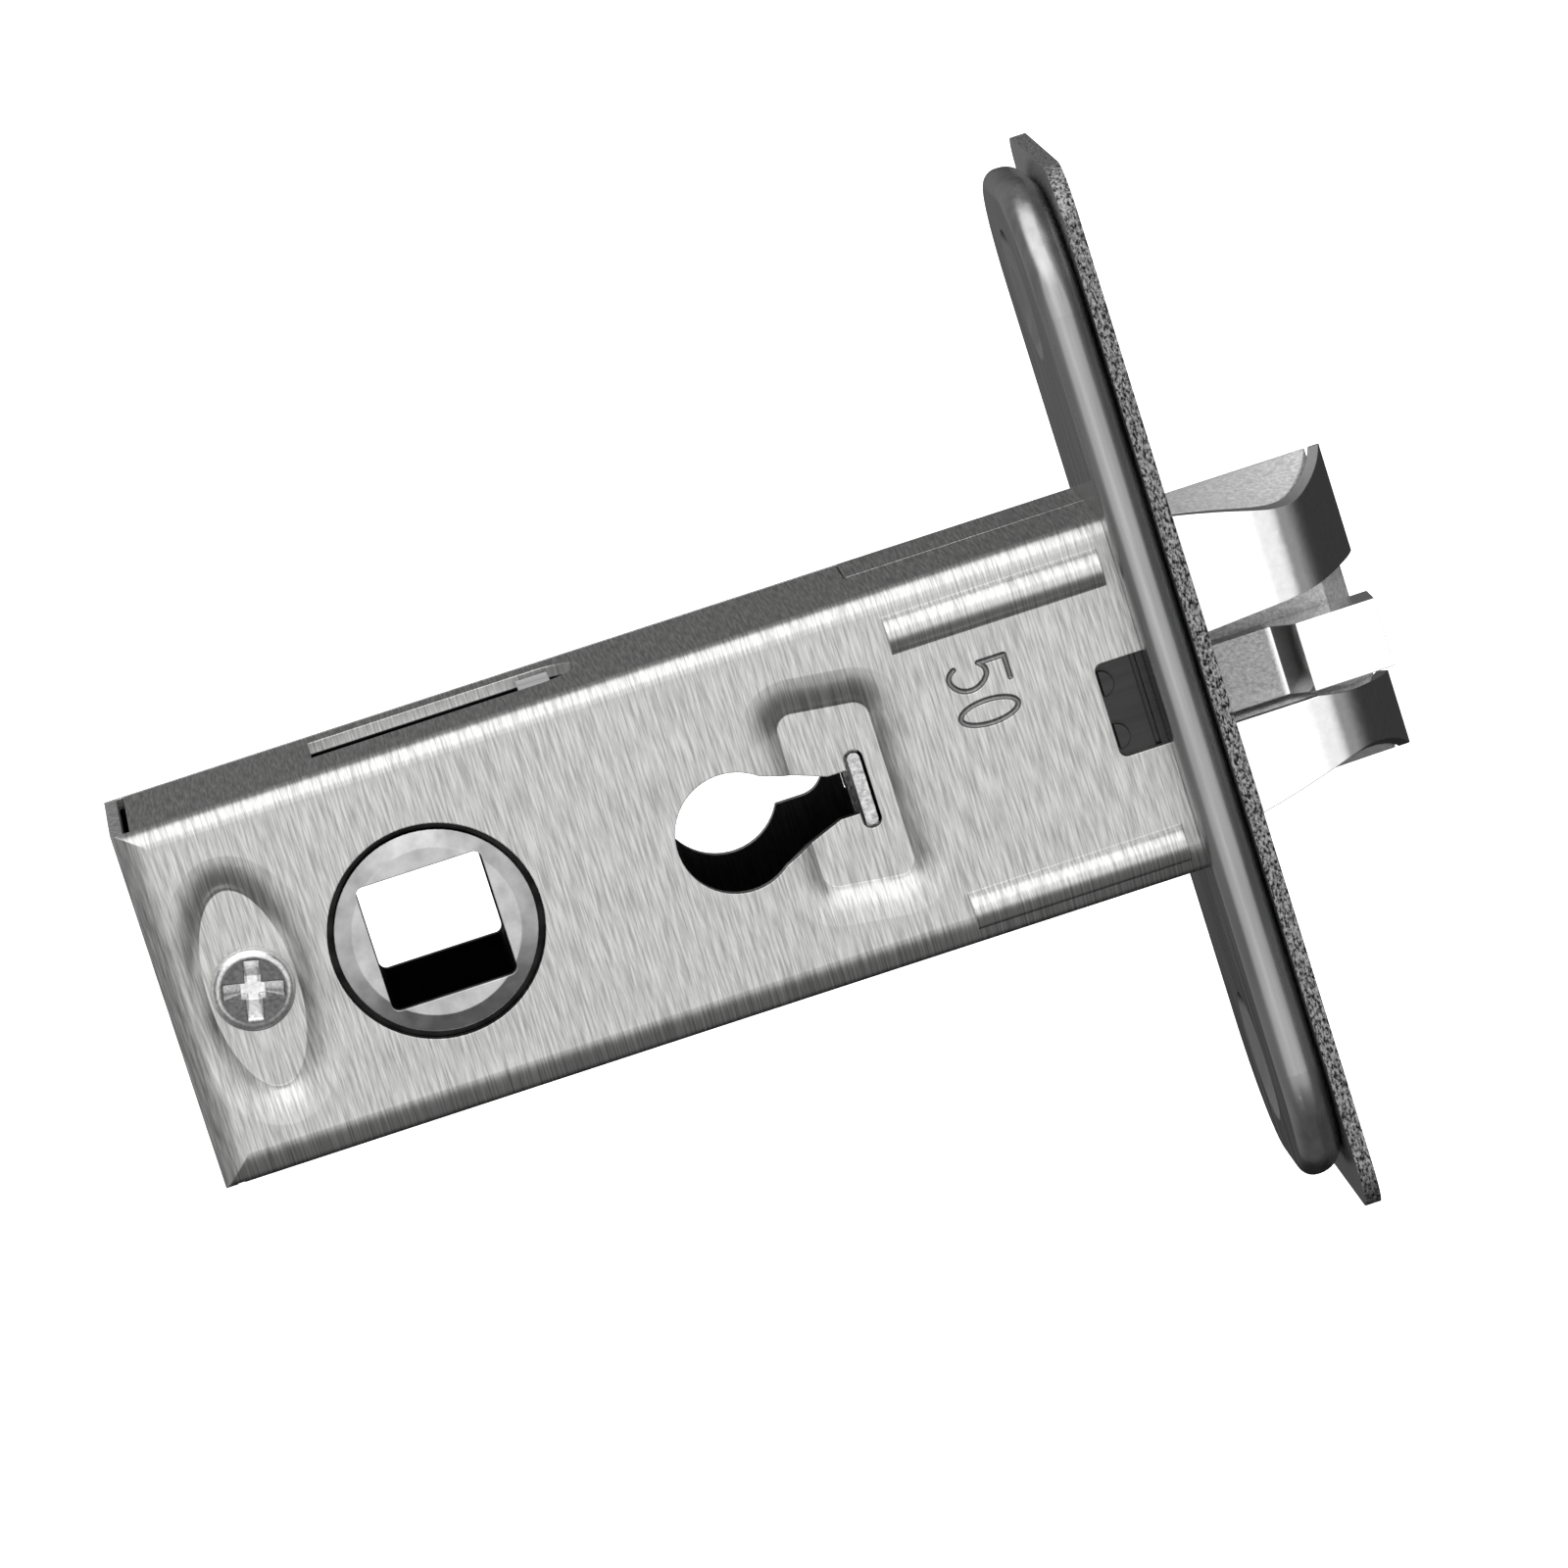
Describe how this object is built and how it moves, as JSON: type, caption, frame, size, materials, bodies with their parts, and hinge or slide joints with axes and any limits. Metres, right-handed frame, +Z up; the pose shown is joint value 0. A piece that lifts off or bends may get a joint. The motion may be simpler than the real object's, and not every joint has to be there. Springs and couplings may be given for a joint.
{
  "type": "tubular mortice latch",
  "caption": "Tubular mortice latch in a folded steel case, with bevelled tongues beside a straight sprung tongue, all drawn back through the faceplate by a square-holed hub.",
  "frame": {"origin": "on the front of the faceplate, midway between its screw holes and on the bolt line", "axes": "+X the way the bolt shoots out of the door edge, +Z up the faceplate, -Y out of the marked face"},
  "size_m": [0.0784, 0.023, 0.0674],
  "materials": {
    "case_sheet": "stainless sheet, brushed across the case",
    "faceplate_sheet": "satin stainless sheet",
    "inner_sheet": "dull zinc-plated sheet",
    "plated_steel": "bright zinc plating",
    "zinc_casting": "die-cast zinc alloy, tumbled",
    "polished_sheet": "polished stainless sheet",
    "spring_wire": "drawn spring wire"
  },
  "bodies": {
    "case": {"front_shell": "case_sheet", "back_shell": "case_sheet", "forend_tray": "faceplate_sheet", "forend_plate": "faceplate_sheet", "front_tie": "inner_sheet", "back_tie": "inner_sheet", "spring_plate": "inner_sheet", "rear_post": "plated_steel", "rear_screw": "plated_steel", "upper_spring": "spring_wire", "lower_spring": "spring_wire"},
    "hub": {"hub": "zinc_casting"},
    "bolt": {"bolt_core": "zinc_casting", "upper_cap": "polished_sheet", "lower_cap": "polished_sheet", "upper_strap": "inner_sheet", "lower_strap": "inner_sheet", "upper_rivet": "plated_steel", "lower_rivet": "plated_steel", "tongue_spring": "spring_wire"},
    "tongue": {"middle_tongue": "zinc_casting"}
  },
  "joints": [
    {"name": "hub_turn", "type": "hinge", "parent": "case", "child": "hub", "pos_m": [-0.05, 0, 0], "axis": [0, -1, 0], "range_deg": [0, 78]},
    {"name": "bolt_slide", "type": "slide", "parent": "case", "child": "bolt", "axis": [1, 0, 0], "range_m": [-0.011, 0], "stiffness_N_per_m": 200, "springref_m": 0.02, "deforming": ["upper_spring", "lower_spring"]},
    {"name": "tongue_slide", "type": "slide", "parent": "bolt", "child": "tongue", "axis": [1, 0, 0], "range_m": [-0.006, 0], "stiffness_N_per_m": 120, "springref_m": 0.01, "deforming": ["tongue_spring"]}
  ],
  "couplings": [
    {"joint": "hub_turn", "follows": "bolt_slide", "rad_per_m": -122}
  ]
}
